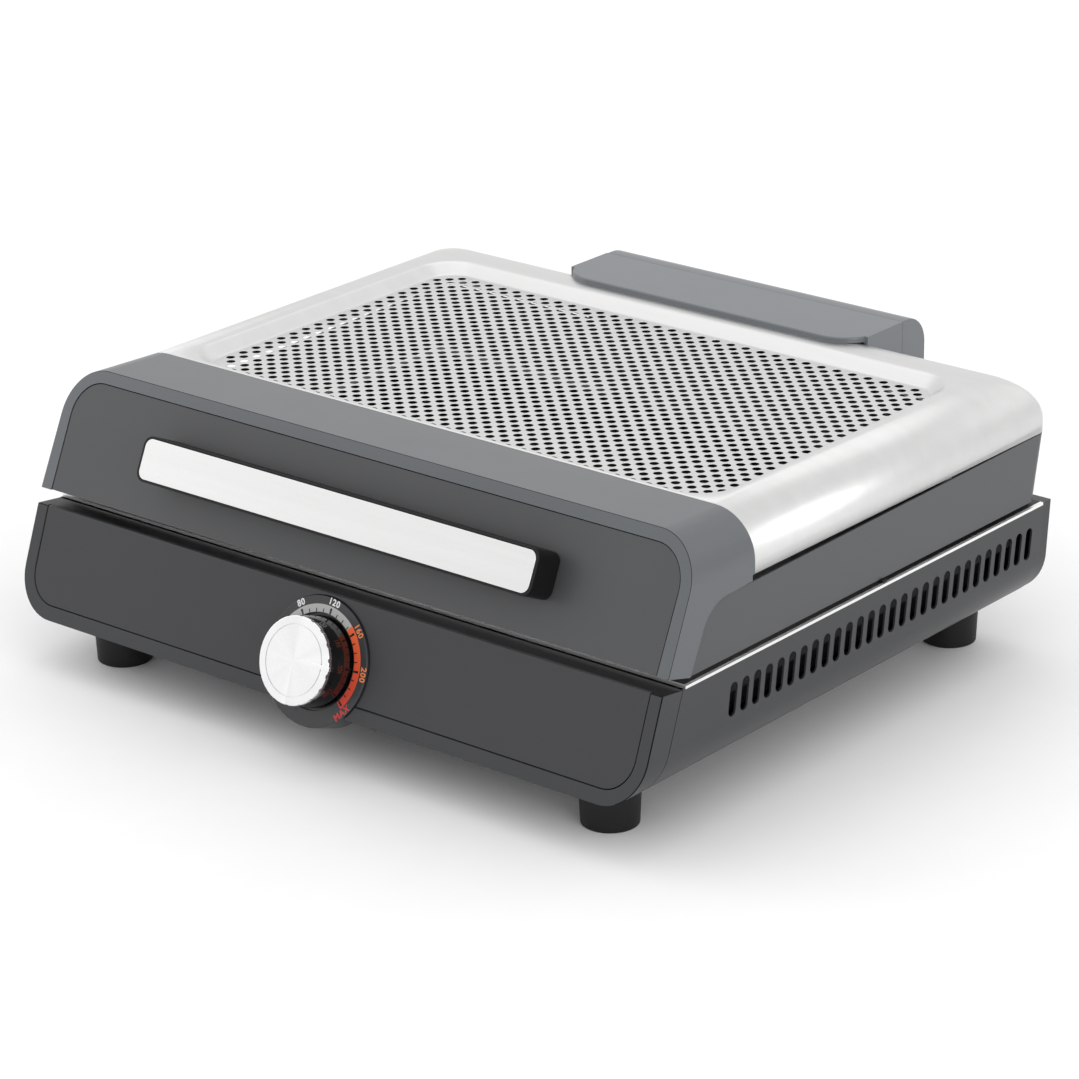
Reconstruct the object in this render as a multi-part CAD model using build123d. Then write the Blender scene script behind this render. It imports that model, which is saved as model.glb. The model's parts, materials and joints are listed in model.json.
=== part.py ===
from build123d import *
import math
import os

# Electric griddle with a hinged, perforated hood. Millimetres, +Z up, -Y is the front.
# Distances "back" are measured from the hood's front lower edge.

width = 469.0
hood_front_y = -182.4        # places the whole appliance evenly about y = 0

# base casing
base_low = 31.0
base_high = 90.5
base_corner = 27.0
base_lean = 20.5             # degrees the front face leans back
base_front_top = (-4.0, 92.7)
front_depth = 18.5
rear_seam = 361.0
rear_depth = 7.5
rear_lean = 5.7
steel = 1.2
plastic = 3.0
rim_width = 8.0
groove = 0.6

# hood
hood_lean = 24.5
hood_low = 101.0
hood_skirt_low = 94.2
hood_half_front = 235.2
hood_top_front = 171.9
hood_corner = 29.0
hood_taper = 3.3             # narrowing from the front edge to the strip's rear edge
strip_rear = 80.2
sheet_half = 231.6
sheet_top = 169.0
sheet_low = 135.0
sheet_radius = 26.3
sheet_rear = 367.0
sheet_thick = 0.6
skirt_rear_low = 358.0
skirt_top_front = 131.0
skirt_top_rear = 134.6

# perforated recess
recess_half = 190.0
recess_front = 91.5
recess_rear = 319.0
recess_depth = 7.0
recess_run = 7.0
hole_pitch = 11.2            # across, between holes of one row
hole_row_step = 5.57
hole_radius = 2.7
hole_rear_row = 313.5
hole_rows = 40
hole_columns = 33

# handle
handle_half = 147.5
handle_high = 27.0
handle_out = 19.3
handle_low = 21.3
plate_half = 145.6
plate_high = 24.0
handle_screw_x = (-120.0, 120.0)

# temperature dial
dial_z = 56.1
disc_radius = 37.3
disc_proud = 1.5
boss_depth = 14.0
knob_radius = 26.3
knob_top_radius = 25.0
knob_high = 18.0
cap_thick = 2.6
shaft_radius = 3.0
flute_count = 18
pointer_angle = 87.0         # clockwise from the top of the dial

# hinge
pivot_back = 378.0
ear_x = 94.0
arm_x = 87.0
ear_screw_z = 58.0
ear_screw_x = 8.0              # either side of the ear's plate
pivot_z = 100.0
pin_radius = 4.0
pin_clearance = 0.06
cover_half = 114.0
cover_front = 336.0
cover_rear = 410.5
cover_top = 172.5
cover_radius = 19.0

# vents
slot_count = 28
slot_first = 57.5
slot_pitch = 10.65
slot_wide = 6.5
slot_low = 60.4
slot_high = 80.0
slot_lean = 8.0

foot_x = 185.0
foot_front = 12.9
foot_rear = 338.0
foot_radius = 17.8

gland_x = -150.0
gland_drop = 36.0            # down the rear face from the casing's top
gland_radius = 8.8

# inside the base
tub_half = 226.0
tub_front = 26.0
tub_rear = 350.0
tub_floor = 50.0
ledge_z = 70.0
ledge_in = 12.0
element_z = 62.0
element_radius = 3.4
element_span = 176.0
terminal_x = (62.0, 102.0)


def back(distance):
    return hood_front_y + distance


def section(half, low, high, low_radius=0.0, high_radius=0.0):
    face = Pos(0, (low + high) / 2) * Rectangle(2 * half, high - low)
    if low_radius:
        face = fillet(face.vertices().group_by(Axis.Y)[0], low_radius)
    if high_radius:
        face = fillet(face.vertices().group_by(Axis.Y)[-1], high_radius)
    return face


def prism_y(face, front, rear):
    """Extrude an XZ outline between two distances back."""
    return extrude(Plane.XZ.offset(-back(rear)) * face, amount=rear - front)


def prism_x(points, half):
    """Extrude a (back, z) outline evenly to both sides."""
    face = make_face(Polyline([(back(d), z) for d, z in points], close=True))
    return extrude(Plane.YZ * face, amount=half, both=True)


def block(x0, x1, d0, d1, z0, z1):
    box = Box(x1 - x0, d1 - d0, z1 - z0)
    return Pos((x0 + x1) / 2, back((d0 + d1) / 2), (z0 + z1) / 2) * box


def leaning_plane(distance, z, lean):
    angle = math.radians(lean)
    return Plane(
        origin=(0, back(distance), z),
        x_dir=(1, 0, 0),
        z_dir=(0, -math.cos(angle), math.sin(angle)),
    )


def slab(plane, low, high):
    return extrude(plane.offset(low) * Rectangle(1200, 1200), amount=high - low)


def tube(plane, radius, low, high):
    return extrude(plane.offset(low) * Circle(radius), amount=high - low)


base_face = leaning_plane(*base_front_top, base_lean)
hood_face = leaning_plane(0, hood_low, hood_lean)
seam_offset = -front_depth * math.cos(math.radians(base_lean))
rear_seam_plane = leaning_plane(rear_seam, base_high, rear_lean)
rear_face_plane = leaning_plane(rear_seam + rear_depth, base_high, rear_lean)
gland_plane = Plane(rear_face_plane.location * Pos(gland_x, -gland_drop, 0))

dial_drop = (base_front_top[1] - dial_z) * math.tan(math.radians(base_lean))
dial = leaning_plane(base_front_top[0] - dial_drop, dial_z, base_lean)


# ---------------------------------------------------------------- base casing
def make_base_wrap():
    outer = section(width / 2, base_low, base_high, base_corner)
    inner = section(width / 2 - steel, base_low + steel, base_high + 5, base_corner - steel)
    wrap = prism_y(outer - inner, -45, rear_seam + 20)
    wrap -= slab(base_face, seam_offset, 200)
    wrap -= slab(rear_seam_plane, -200, 0)
    slots = []
    high = slot_high - slot_low
    for number in range(slot_count):
        place = back(slot_first + number * slot_pitch), (slot_low + slot_high) / 2
        slots.append(Pos(*place) * Rot(0, 0, 90 - slot_lean) * SlotOverall(high, slot_wide))
    wrap -= extrude(Plane.YZ * Sketch(children=slots), amount=width, both=True)
    wrap -= tube(dial, disc_radius + 0.4, -boss_depth - 0.5, 20)
    for x, d in foot_places():
        wrap -= Pos(x, back(d), base_low) * Cylinder(2.2, 10)
    return wrap


def foot_places():
    return [(x, d) for d in (foot_front, foot_rear) for x in (-foot_x, foot_x)]


def make_base_bezel():
    outer = prism_y(section(width / 2, base_low, 96, base_corner), -45, 30)
    edge, top = base_front_top
    roof = [(-60, 0), (-60, top), (edge, top), (14.5, base_high), (40, base_high), (40, 0)]
    bezel = outer & prism_x(roof, 400) & slab(base_face, seam_offset, 0)
    hollow = prism_y(
        section(width / 2 - plastic, base_low + plastic, 87.5, base_corner - plastic), -45, 30
    )
    bezel -= hollow & slab(base_face, -60, -5)
    half, low = width / 2 - rim_width, base_low + rim_width
    pocket = prism_y(section(half, low, 96, base_corner - rim_width), -45, 30)
    bezel -= pocket & slab(base_face, -2.6, 10)
    bezel -= tube(dial, disc_radius + 0.3, -boss_depth - 0.5, 20)
    return bezel


def make_base_panel():
    half = width / 2 - rim_width - groove
    face = section(half, base_low + rim_width + groove, 92.5, base_corner - rim_width - groove)
    panel = prism_y(face, -45, 30) & slab(base_face, -2.6, -0.3)
    panel -= tube(dial, disc_radius + 0.3, -40, 20)
    return panel


def make_rear_cap():
    outer = prism_y(section(width / 2 - 0.2, base_low + 0.2, 91.6, base_corner - 0.2), 340, 380)
    cap = outer & slab(rear_seam_plane, -rear_depth * math.cos(math.radians(rear_lean)), 0)
    pocket = prism_y(
        section(width / 2 - plastic, base_low + plastic, 88.6, base_corner - plastic), 340, 380
    )
    cap -= pocket & slab(rear_seam_plane, -4.5, 10)
    cap -= tube(gland_plane, gland_radius + 0.2, -10, 20)
    for side in (-1, 1):
        cap -= ear_holes(side)
    return cap


def ear_holes(side):
    hole = Rot(90, 0, 0) * Cylinder(2.1, 40)
    left = Pos(side * ear_x - ear_screw_x, back(368), ear_screw_z) * hole
    right = Pos(side * ear_x + ear_screw_x, back(368), ear_screw_z) * hole
    return left + right


def make_cord_gland():
    collar = fillet(tube(gland_plane, 11.5, -5, 0).edges().sort_by(Axis.Y)[-1], 1.5)
    neck = tube(gland_plane, gland_radius, 0, 9.5)
    nut = extrude(gland_plane.offset(4.8) * RegularPolygon(11.5, 6), amount=3.5)
    return collar + neck + nut - tube(gland_plane, 4.2, -20, 20)


# ---------------------------------------------------------------- inside the base
def make_liner():
    def pan(inset, floor, top, rim_inset):
        wide = 2 * (tub_half - inset - rim_inset)
        deep = tub_rear - tub_front - 2 * (inset + rim_inset)
        middle = back((tub_front + tub_rear) / 2)
        return Pos(0, middle, floor) * extrude(RectangleRounded(wide, deep, 14), amount=top - floor)

    upper_out = pan(0, ledge_z - steel, 92.2, 0)
    upper_in = pan(steel, ledge_z, 93, 0)
    lower_out = pan(0, tub_floor, ledge_z - steel, ledge_in)
    lower_in = pan(steel, tub_floor + steel, ledge_z + 2, ledge_in)
    flange = block(-width / 2 - 0.2, width / 2 + 0.2, 15.5, rear_seam - 1.2, base_high, 92.2)
    flange -= block(-tub_half + 1, tub_half - 1, tub_front + 1, tub_rear - 1, 80, 100)
    liner = upper_out - upper_in
    liner += lower_out
    liner -= lower_in
    liner += flange - pan(0.5, ledge_z, 93, 0)
    for x in terminal_x:
        liner -= Pos(x, back(tub_front + ledge_in), element_z) * Rot(90, 0, 0) * Cylinder(5.0, 20)
    return liner


def make_element():
    near, far = 70.0, 318.0
    lane = element_span / 3.0
    left, right = terminal_x
    points = [
        (left, 24.0), (left, near), (-element_span, near), (-element_span, near + 62),
        (element_span, near + 62), (element_span, near + 124),
        (-element_span, near + 124), (-element_span, far),
        (element_span + lane / 4, far), (element_span + lane / 4, near), (right, near), (right, 24.0),
    ]
    path = FilletPolyline(*[(x, back(d), element_z) for x, d in points], radius=18)
    start = Plane(origin=path @ 0, z_dir=path % 0)
    return sweep(start * Circle(element_radius), path=path)


def make_element_clips():
    clips = []
    for x in (-120.0, 20.0, 140.0):
        for d in (70.0, 132.0, 194.0, 318.0):
            if x > 100 and d < 80:
                continue
            top = element_z + element_radius + 1.8
            post = block(x - 1, x + 1, d - 5.5, d + 5.5, tub_floor + steel, top)
            bore = Pos(x, back(d), element_z) * Rot(0, 90, 0) * Cylinder(element_radius, 20)
            clips.append(post - bore)
    return Compound(children=clips)


def make_cooking_plate():
    half, near, far = tub_half - steel - 0.8, tub_front + steel + 0.8, tub_rear - steel - 0.8
    middle = back((near + far) / 2)

    def layer(inset, low, high, radius=13):
        face = RectangleRounded(2 * (half - inset), far - near - 2 * inset, radius)
        return Pos(0, middle, low) * extrude(face, amount=high - low)

    plate = layer(0, ledge_z + 0.0, ledge_z + 4.0)
    plate += layer(10, ledge_z + 4.0, 89.0)
    plate -= layer(14, 79.0, 95.0, 10)
    gutter = layer(14, 76.5, 80.0, 10) - layer(26, 76.0, 80.5, 8)
    plate -= gutter
    plate -= layer(16, ledge_z - 1, ledge_z + 2.5, 8)
    drain = Pos(0, back(near + 20), 75) * Cylinder(5, 30)
    return plate - drain


def make_drip_pan():
    def tray(inset, low, high, radius):
        face = RectangleRounded(2 * (110 - inset), 46 - 2 * inset, radius)
        return Pos(0, back(101), low) * extrude(face, amount=high - low)

    outer = tray(0, tub_floor + steel, 57.0, 8)
    return outer - tray(1.0, tub_floor + steel + 1.0, 60.0, 7)


def make_heat_shield():
    plate = block(-205, 205, 40, 340, 40.0, 41.0)
    posts = []
    for x in (-190, 190):
        for d in (60, 320):
            plate += Pos(x, back(d), (base_low + steel + 40) / 2) * Cylinder(4, 40 - base_low - steel)
            posts.append(Pos(x, back(d), (41 + tub_floor) / 2) * Cylinder(4, tub_floor - 41))
    for post in posts:
        plate += post
    return plate


# ---------------------------------------------------------------- thermostat and dial
def make_dial_disc():
    disc = tube(dial, disc_radius, -boss_depth, disc_proud)
    disc = fillet(disc.edges().filter_by(GeomType.CIRCLE).sort_by(Axis.Y)[0], 0.5)
    disc -= tube(dial, disc_radius - 2.0, -boss_depth + 2.0, -2.5)
    disc -= tube(dial, knob_radius + 1.4, -0.6, 10)
    disc -= tube(dial, 9.0, -40, 10)
    return disc


def make_thermostat():
    box = extrude(dial.offset(-31) * (Pos(0, 3) * RectangleRounded(46, 24, 3)), amount=13)
    bush = tube(dial, 8.6, -18, -3.2)
    return box + bush - tube(dial, shaft_radius + 0.06, -24, 10)


def make_thermostat_bracket():
    plate = extrude(dial.offset(-18) * RectangleRounded(102, 28, 4), amount=1.5)
    for x in (-44, 44):
        plate += extrude(dial.offset(-16.5) * (Pos(x, 0) * Circle(4)), amount=11.5)
    return plate - tube(dial, 8.6, -30, 0)


def shaft_flat():
    return extrude(dial.offset(3) * (Pos(0, shaft_radius + 0.7) * Rectangle(8, 3)), amount=12)


def make_shaft():
    return tube(dial, shaft_radius, -23, 13) - shaft_flat()


def cap_flutes(depth):
    cutter = []
    radius = knob_top_radius + 0.4 - depth + 3.4
    for number in range(flute_count):
        angle = math.radians(90 - pointer_angle + 360 / flute_count * (number + 0.5))
        cutter.append(Pos(radius * math.cos(angle), radius * math.sin(angle)) * Circle(3.4))
    return extrude(dial.offset(knob_high - 1) * Sketch(children=cutter), amount=cap_thick + 2)


def make_knob_body():
    inner, roof = knob_top_radius - 3.0, knob_high - 3.0
    outline = [
        (0, 1.0), (7.0, 1.0), (7.0, roof), (inner, roof), (inner, 0),
        (knob_radius, 0), (knob_top_radius, knob_high), (0, knob_high),
    ]
    turned = revolve(Plane.XZ * make_face(Polyline(outline, close=True)), Axis.Z)
    body = dial.location * turned
    body -= tube(dial, shaft_radius, -1, 13) - shaft_flat()
    turn = Rot(0, 0, 90 - pointer_angle)
    rib = extrude(dial.offset(0.8) * (turn * Pos(25.0, 0) * Rectangle(3.6, 2.2)), amount=knob_high - 0.8)
    return body + rib


def make_knob_cap():
    cap = tube(dial, knob_top_radius + 0.4, knob_high, knob_high + cap_thick)
    cap = fillet(cap.edges().filter_by(GeomType.CIRCLE).sort_by(Axis.Y)[0], 0.8)
    cap -= cap_flutes(0.45)
    ring = tube(dial, 20.6, knob_high + cap_thick - 0.9, knob_high + 8)
    ring -= tube(dial, 20.0, knob_high + cap_thick - 1, knob_high + 9)
    return cap - ring - make_pointer()


def make_pointer():
    bar = Rot(0, 0, 90 - pointer_angle) * Pos(20.2, 0) * Rectangle(13.0, 2.6)
    return extrude(dial.offset(knob_high + 1.2) * bar, amount=cap_thick - 0.5)


def make_shaft_clip():
    return tube(dial, 5.2, 0.1, 0.9) - tube(dial, shaft_radius, -1, 2)


# ---------------------------------------------------------------- electrics
def make_terminal_block():
    body = block(135, 171, 24.6, 36, 36, 52)
    ways = [Pos(x, back(30), 52) * Cylinder(3.0, 10) for x in (141, 153, 165)]
    for way in ways:
        body -= way
    return body


def make_thermal_fuse():
    return Pos(102, back(16), 50) * Rot(0, 90, 0) * Cylinder(2.5, 22)


# ---------------------------------------------------------------- feet
def make_foot(x, d):
    body = Pos(x, back(d), 0) * extrude(Circle(foot_radius - 1.4), amount=base_low, taper=-2.6)
    body = fillet(body.edges().filter_by(GeomType.CIRCLE).sort_by(Axis.Z)[0], 1.0)
    well = Pos(x, back(d), 0) * Cylinder(6.5, 22)
    hole = Pos(x, back(d), 15) * Cylinder(2.2, 40)
    return body - well - hole


def make_foot_screws():
    screws = []
    for x, d in foot_places():
        head = Pos(x, back(d), 9.5) * Cylinder(4.4, 3.0)
        shank = Pos(x, back(d), 22.5) * Cylinder(2.0, 23.0)
        screws.append(head + shank)
    return Compound(children=screws)


# ---------------------------------------------------------------- hinge
def upright(points, middle, half):
    """Extrude a (back, z) outline across the width, centred on x = middle."""
    return Pos(middle, 0, 0) * prism_x(points, half)


def make_ear(side):
    def rear(z):
        return rear_seam + rear_depth - (base_high - z) * math.tan(math.radians(rear_lean))

    low, high = 40.0, 76.0
    flange = [(rear(low), low), (rear(high), high), (rear(high) + 2.5, high), (rear(low) + 2.5, low)]
    plate = [
        (rear(low) + 1, low + 4), (374, 44), (376, 48), (376, 84), (386, 94), (386, 103), (381, 108),
        (375, 108), (370.5, 103), (370.5, 84), (rear(high) + 1, high - 4),
    ]
    ear = upright(flange, side * ear_x, 14) + upright(plate, side * ear_x, 2.5)
    ear -= Pos(side * ear_x, back(pivot_back), pivot_z) * Rot(0, 90, 0) * Cylinder(pin_radius, 40)
    return ear - ear_holes(side)


def make_pin(side):
    pin = Pos(side * 90.0, back(pivot_back), pivot_z) * Rot(0, 90, 0) * Cylinder(pin_radius, 15.0)
    head = Pos(side * 98.5, back(pivot_back), pivot_z) * Rot(0, 90, 0) * Cylinder(6.0, 2.0)
    return pin + head


def make_arm(side):
    plate = [(370.0, 100), (386.0, 100), (392, 116), (392, 143), (367.1, 143), (367.1, 136), (371, 128)]
    upper = make_face(Polyline([(back(d), z) for d, z in plate], close=True))
    ring = Pos(back(pivot_back), pivot_z) * Circle(8.6)
    arm = extrude(Plane.YZ.offset(side * arm_x - 2.0) * (upper + ring), amount=4)
    foot = block(side * arm_x - 9, side * arm_x + 9, 367.05, 369.0, 135.5, 143.0)
    arm += foot
    bore = Rot(0, 90, 0) * Cylinder(pin_radius + pin_clearance, 30)
    return arm - Pos(side * arm_x, back(pivot_back), pivot_z) * bore


# ---------------------------------------------------------------- hood
def hood_section(half, top, radius):
    return section(half, 60, top, 0, radius)


def hood_loft(inset):
    rear = strip_rear
    near = hood_section(hood_half_front - inset, hood_top_front - inset, hood_corner - inset)
    far_half = hood_half_front - hood_taper - inset
    far = hood_section(far_half, hood_top_front - hood_taper + 0.3 - inset, hood_corner - 2.6 - inset)
    front_plane = Plane.XZ.offset(-back(0))
    rear_plane = Plane.XZ.offset(-back(rear))
    return loft([front_plane * near, rear_plane * far], ruled=True)


def side_boundary():
    """Outline, in (back, z), of what lies behind the moulded front on the hood's sides."""
    lean = math.tan(math.radians(hood_lean + 3.0))
    start = (20.5, hood_skirt_low)
    turn = (start[0] + (skirt_top_front - start[1]) * lean, skirt_top_front)
    return start, turn


def make_side_region(low, top_front, top_rear):
    start, turn = side_boundary()
    drop = hood_skirt_low - low
    lean = math.tan(math.radians(hood_lean + 3.0))
    path = [
        (back(start[0] - drop * lean), low),
        (back(turn[0]), top_front),
        (back(78.0), top_front),
        (back(sheet_rear + 6), top_rear),
        (back(sheet_rear + 6), low),
    ]
    face = make_face(Polyline(path, close=True))
    corner = face.vertices().sort_by_distance((back(turn[0]), top_front, 0))[0]
    face = fillet(corner, 24)
    return face


def make_hood_bezel():
    shell = hood_loft(0) - hood_loft(plastic)
    wall = hood_loft(1.0) & slab(hood_face, -6, 0)
    shell = (shell + wall) & slab(hood_face, -200, 0)
    start, _ = side_boundary()
    low = hood_skirt_low + 1.0
    under = [(-60, hood_low), (0, hood_low), (start[0], low), (60, low), (60, 40), (-60, 40)]
    shell -= prism_x(under, 400)
    beside = Pos(-0.7, 0) * make_side_region(60, skirt_top_front + 0.5, skirt_top_front + 0.5)
    shell -= extrude(Plane.YZ * beside, amount=400, both=True)
    behind = [(78.0, 60), (78.0, sheet_low), (200, sheet_low), (200, 60)]
    shell -= prism_x(behind, 400)
    half = hood_half_front - rim_width
    top, radius = hood_top_front - rim_width, hood_corner - rim_width
    pocket = prism_y(section(half, 60, top, 0, radius), -45, 60)
    shell -= pocket & slab(hood_face, -2.6, 10)
    for x in handle_screw_x:
        shell -= handle_screw_hole(x)
    return shell


def make_hood_panel():
    half = hood_half_front - rim_width - groove
    top, radius = hood_top_front - rim_width - groove, hood_corner - rim_width - groove
    face = section(half, hood_low + 0.2, top, 0, radius)
    panel = prism_y(face, -45, 60) & slab(hood_face, -2.6, -0.3)
    for x in handle_screw_x:
        panel -= handle_screw_hole(x)
    return panel


def handle_screw_hole(x):
    middle = handle_low + handle_high / 2
    return extrude(hood_face.offset(-20) * (Pos(x, middle) * Circle(2.2)), amount=28)


def make_hood_sheet():
    outer = prism_y(hood_section(sheet_half, sheet_top, sheet_radius), strip_rear, 420)
    inner = prism_y(
        hood_section(sheet_half - sheet_thick, sheet_top - sheet_thick, sheet_radius - sheet_thick),
        strip_rear - 1, 420,
    )

    def rear_limit(inset):
        top, rear, radius = sheet_top - inset, sheet_rear - inset, sheet_radius - inset
        face = Pos(back(rear) - 250, top - 100) * Rectangle(500, 200)
        corner = face.vertices().sort_by_distance((back(rear), top, 0))[0]
        return extrude(Plane.YZ * fillet(corner, radius), amount=400, both=True)

    sheet = (outer & rear_limit(0)) - (inner & rear_limit(sheet_thick))
    sheet &= Pos(0, 0, sheet_low + 100) * Box(900, 900, 200)
    sheet = sheet + recess_cone(0) - recess_cone(sheet_thick)
    return sheet - perforations()


def recess_face(grow, inset):
    deep = recess_rear - recess_front + 2 * (grow - inset)
    middle = back((recess_front + recess_rear) / 2)
    return Pos(0, middle) * RectangleRounded(2 * (recess_half + grow - inset), deep, 17 + grow - inset)


def recess_cone(inset):
    floor = sheet_top - recess_depth - sheet_thick + inset
    rise = sheet_top - floor + inset
    low = Pos(0, 0, floor) * recess_face(0, inset)
    high = Pos(0, 0, floor + rise) * recess_face(recess_run * rise / (recess_depth + sheet_thick), inset)
    return loft([low, high], ruled=True)


def perforations():
    circles = []
    for row in range(hole_rows):
        limit = min(hole_columns, 31 + row, 30 + hole_rows - 1 - row)
        for column in range(-limit, limit + 1):
            if (column + row) % 2:
                x = column * hole_pitch / 2
                circles.append(Pos(x, back(hole_rear_row - row * hole_row_step)) * Circle(hole_radius))
    floor = sheet_top - recess_depth - sheet_thick
    return Pos(0, 0, floor - 1) * extrude(Sketch(children=circles), amount=3)


def skirt_block(inset):
    def plan(rear, z):
        deep = rear - inset + 20
        face = Rectangle(2 * (sheet_half - inset), deep)
        face = Pos(0, back(rear - inset) - deep / 2) * face
        corners = face.vertices().group_by(Axis.Y)[-1]
        return Pos(0, 0, z) * fillet(corners, 8 - inset)

    low, high = hood_skirt_low, skirt_top_rear + 2
    return loft([plan(skirt_rear_low, low), plan(sheet_rear, high)], ruled=True)


def make_skirt():
    skirt = skirt_block(0) - skirt_block(steel)
    region = make_side_region(hood_skirt_low, skirt_top_front, skirt_top_rear)
    return skirt & extrude(Plane.YZ * region, amount=400, both=True)


def handle_prism(half, low, high, near, far, radius):
    face = Pos(0, (low + high) / 2) * RectangleRounded(2 * half, high - low, radius)
    return extrude(hood_face.offset(near) * face, amount=far - near)


def make_handle_bar():
    low, high = handle_low, handle_low + handle_high
    bar = handle_prism(handle_half, low, high, -0.3, handle_out, 6.0)
    hollow = handle_prism(handle_half - 5, low - 12, high - 4, -5, handle_out - 4.5, 3.0)
    bar -= hollow
    top = low + 1.6 + plate_high
    bar -= handle_prism(plate_half + 0.1, low + 1.4, top, handle_out - 1.2, handle_out + 5, 5.0)
    for x in handle_screw_x:
        spot = Pos(x, low + handle_high / 2)
        bar += extrude(hood_face.offset(-0.3) * (spot * Circle(5.5)), amount=handle_out - 3)
        bar -= extrude(hood_face.offset(-5) * (spot * Circle(1.9)), amount=15)
    return bar


def make_handle_plate():
    low = handle_low + 1.5
    return handle_prism(plate_half, low, low + plate_high, handle_out - 1.2, handle_out + 0.3, 4.9)


def make_handle_screws():
    screws = []
    for x in handle_screw_x:
        spot = Pos(x, handle_low + handle_high / 2)
        shank = extrude(hood_face.offset(-6) * (spot * Circle(1.9)), amount=14)
        head = extrude(hood_face.offset(-8.5) * (spot * Circle(4.0)), amount=2.5)
        screws.append(shank + head)
    return Compound(children=screws)


def cover_profile(inset):
    top, rear, low = cover_top - inset, cover_rear - inset, 104.0
    face = Pos(back(rear) - 150, (top + low) / 2) * Rectangle(300, top - low)
    corner = face.vertices().sort_by_distance((back(rear), top, 0))[0]
    return fillet(corner, cover_radius - inset)


def make_cover(part):
    outer = extrude(Plane.YZ * cover_profile(0), amount=cover_half, both=True)
    inner = extrude(Plane.YZ * cover_profile(plastic), amount=cover_half - plastic, both=True)
    shell = outer - inner
    tongue = block(-cover_half, cover_half, cover_front, 380, sheet_top, cover_top)
    tongue = fillet(tongue.edges().filter_by(Axis.Z).group_by(Axis.Y)[0], 24)
    top_edges = tongue.edges().group_by(Axis.Z)[-1]
    tongue = fillet(top_edges.filter_by(lambda edge: edge.center().Y < back(370)), 1.0)
    hood_space = hood_envelope()
    shell = (shell & block(-200, 200, 350, 450, 0, 300)) - hood_space
    seam = 386.0
    if part == "top":
        whole = (shell & block(-200, 200, 300, seam, 0, 300)) + (tongue - hood_space)
        return whole & block(-200, 200, 300, seam, 0, 300)
    return shell & block(-200, 200, seam, 450, 0, 300)


def hood_envelope():
    body = prism_y(hood_section(sheet_half, sheet_top, sheet_radius), 300, 420)
    face = Pos(back(sheet_rear) - 250, sheet_top - 100) * Rectangle(500, 200)
    corner = face.vertices().sort_by_distance((back(sheet_rear), sheet_top, 0))[0]
    return body & extrude(Plane.YZ * fillet(corner, sheet_radius), amount=400, both=True)


def make_rim_pads():
    pads = []
    for low, high in ((-233.6, -229.6), (229.6, 233.6)):
        pad = block(low, high, 198.0, 202.0, 92.2, 93.8)
        pads.append(fillet(pad.edges().filter_by(Axis.Z), 1))
    return Compound(children=pads)


nodes = {
    "base_wrap": make_base_wrap,
    "base_front_frame": make_base_bezel,
    "base_front_panel": make_base_panel,
    "base_rear_cap": make_rear_cap,
    "cord_gland": make_cord_gland,
    "inner_liner": make_liner,
    "heating_element": make_element,
    "element_clips": make_element_clips,
    "cooking_plate": make_cooking_plate,
    "drip_pan": make_drip_pan,
    "heat_shield": make_heat_shield,
    "dial_disc": make_dial_disc,
    "thermostat": make_thermostat,
    "thermostat_bracket": make_thermostat_bracket,
    "thermostat_shaft": make_shaft,
    "knob_body": make_knob_body,
    "knob_cap": make_knob_cap,
    "knob_pointer": make_pointer,
    "shaft_clip": make_shaft_clip,
    "terminal_block": make_terminal_block,
    "thermal_fuse": make_thermal_fuse,
    "foot_screws": make_foot_screws,
    "hinge_ear_left": lambda: make_ear(-1),
    "hinge_ear_right": lambda: make_ear(1),
    "hinge_pin_left": lambda: make_pin(-1),
    "hinge_pin_right": lambda: make_pin(1),
    "hinge_arm_left": lambda: make_arm(-1),
    "hinge_arm_right": lambda: make_arm(1),
    "hood_front_frame": make_hood_bezel,
    "hood_front_panel": make_hood_panel,
    "hood_top_sheet": make_hood_sheet,
    "hood_skirt": make_skirt,
    "handle_bar": make_handle_bar,
    "handle_plate": make_handle_plate,
    "handle_screws": make_handle_screws,
    "hinge_cover_top": lambda: make_cover("top"),
    "hinge_cover_rear": lambda: make_cover("rear"),
    "rim_pads": make_rim_pads,
}
for (x, d), name in zip(foot_places(), ("front_left", "front_right", "rear_left", "rear_right")):
    nodes["foot_" + name] = lambda x=x, d=d: make_foot(x, d)

os.makedirs("parts", exist_ok=True)
for name, make in nodes.items():
    export_step(make(), f"parts/{name}.step")
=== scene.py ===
import bmesh
import bpy
import json
import math
from mathutils import Matrix, Vector

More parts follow.
